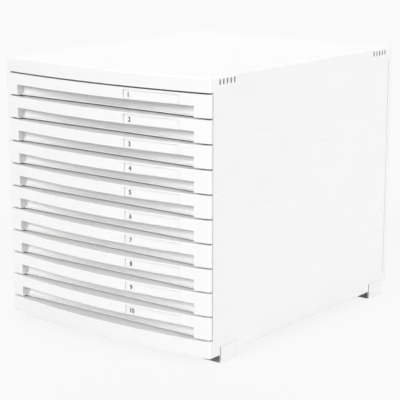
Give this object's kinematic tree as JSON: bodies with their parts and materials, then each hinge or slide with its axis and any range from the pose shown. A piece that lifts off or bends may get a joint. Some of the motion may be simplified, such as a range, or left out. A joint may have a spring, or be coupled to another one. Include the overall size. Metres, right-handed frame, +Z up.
{
  "type": "desktop drawer organizer",
  "caption": "White moulded desk unit for flat papers: a low case on clip-in feet with a stack of flat sliding drawers, bowed fronts, grip troughs and label strips.",
  "frame": {"origin": "centre of the footprint, on the surface that the feet stand on", "axes": "+X to the right seen from the front, +Y to the back, +Z up; the drawers open towards -Y"},
  "size_m": [0.275, 0.356, 0.291],
  "materials": {
    "case_plastic": "white, satin",
    "drawer_plastic": "white, satin",
    "label_clear": "clear plastic strip",
    "label_paper": "white card",
    "pad_rubber": "grey"
  },
  "bodies": {
    "case": {"top_cover": "case_plastic", "base_tray": "case_plastic", "left_side_panel": "case_plastic", "right_side_panel": "case_plastic", "rear_panel": "case_plastic", "foot_front_left": "case_plastic", "foot_front_right": "case_plastic", "foot_rear_left": "case_plastic", "foot_rear_right": "case_plastic", "foot_pad_front_left": "pad_rubber", "foot_pad_front_right": "pad_rubber", "foot_pad_rear_left": "pad_rubber", "foot_pad_rear_right": "pad_rubber"},
    "drawer_01": {"drawer_01_front": "drawer_plastic", "drawer_01_tray": "drawer_plastic", "drawer_01_label_card": "label_paper", "drawer_01_label_window": "label_clear"},
    "drawer_02": {"drawer_02_front": "drawer_plastic", "drawer_02_tray": "drawer_plastic", "drawer_02_label_card": "label_paper", "drawer_02_label_window": "label_clear"},
    "drawer_03": {"drawer_03_front": "drawer_plastic", "drawer_03_tray": "drawer_plastic", "drawer_03_label_card": "label_paper", "drawer_03_label_window": "label_clear"},
    "drawer_04": {"drawer_04_front": "drawer_plastic", "drawer_04_tray": "drawer_plastic", "drawer_04_label_card": "label_paper", "drawer_04_label_window": "label_clear"},
    "drawer_05": {"drawer_05_front": "drawer_plastic", "drawer_05_tray": "drawer_plastic", "drawer_05_label_card": "label_paper", "drawer_05_label_window": "label_clear"},
    "drawer_06": {"drawer_06_front": "drawer_plastic", "drawer_06_tray": "drawer_plastic", "drawer_06_label_card": "label_paper", "drawer_06_label_window": "label_clear"},
    "drawer_07": {"drawer_07_front": "drawer_plastic", "drawer_07_tray": "drawer_plastic", "drawer_07_label_card": "label_paper", "drawer_07_label_window": "label_clear"},
    "drawer_08": {"drawer_08_front": "drawer_plastic", "drawer_08_tray": "drawer_plastic", "drawer_08_label_card": "label_paper", "drawer_08_label_window": "label_clear"},
    "drawer_09": {"drawer_09_front": "drawer_plastic", "drawer_09_tray": "drawer_plastic", "drawer_09_label_card": "label_paper", "drawer_09_label_window": "label_clear"},
    "drawer_10": {"drawer_10_front": "drawer_plastic", "drawer_10_tray": "drawer_plastic", "drawer_10_label_card": "label_paper", "drawer_10_label_window": "label_clear"}
  },
  "joints": [
    {"name": "drawer_01_slide", "type": "slide", "parent": "case", "child": "drawer_01", "axis": [0, -1, 0], "range_m": [0, 0.27]},
    {"name": "drawer_02_slide", "type": "slide", "parent": "case", "child": "drawer_02", "axis": [0, -1, 0], "range_m": [0, 0.27]},
    {"name": "drawer_03_slide", "type": "slide", "parent": "case", "child": "drawer_03", "axis": [0, -1, 0], "range_m": [0, 0.27]},
    {"name": "drawer_04_slide", "type": "slide", "parent": "case", "child": "drawer_04", "axis": [0, -1, 0], "range_m": [0, 0.27]},
    {"name": "drawer_05_slide", "type": "slide", "parent": "case", "child": "drawer_05", "axis": [0, -1, 0], "range_m": [0, 0.27]},
    {"name": "drawer_06_slide", "type": "slide", "parent": "case", "child": "drawer_06", "axis": [0, -1, 0], "range_m": [0, 0.27]},
    {"name": "drawer_07_slide", "type": "slide", "parent": "case", "child": "drawer_07", "axis": [0, -1, 0], "range_m": [0, 0.27]},
    {"name": "drawer_08_slide", "type": "slide", "parent": "case", "child": "drawer_08", "axis": [0, -1, 0], "range_m": [0, 0.27]},
    {"name": "drawer_09_slide", "type": "slide", "parent": "case", "child": "drawer_09", "axis": [0, -1, 0], "range_m": [0, 0.27]},
    {"name": "drawer_10_slide", "type": "slide", "parent": "case", "child": "drawer_10", "axis": [0, -1, 0], "range_m": [0, 0.27]}
  ]
}
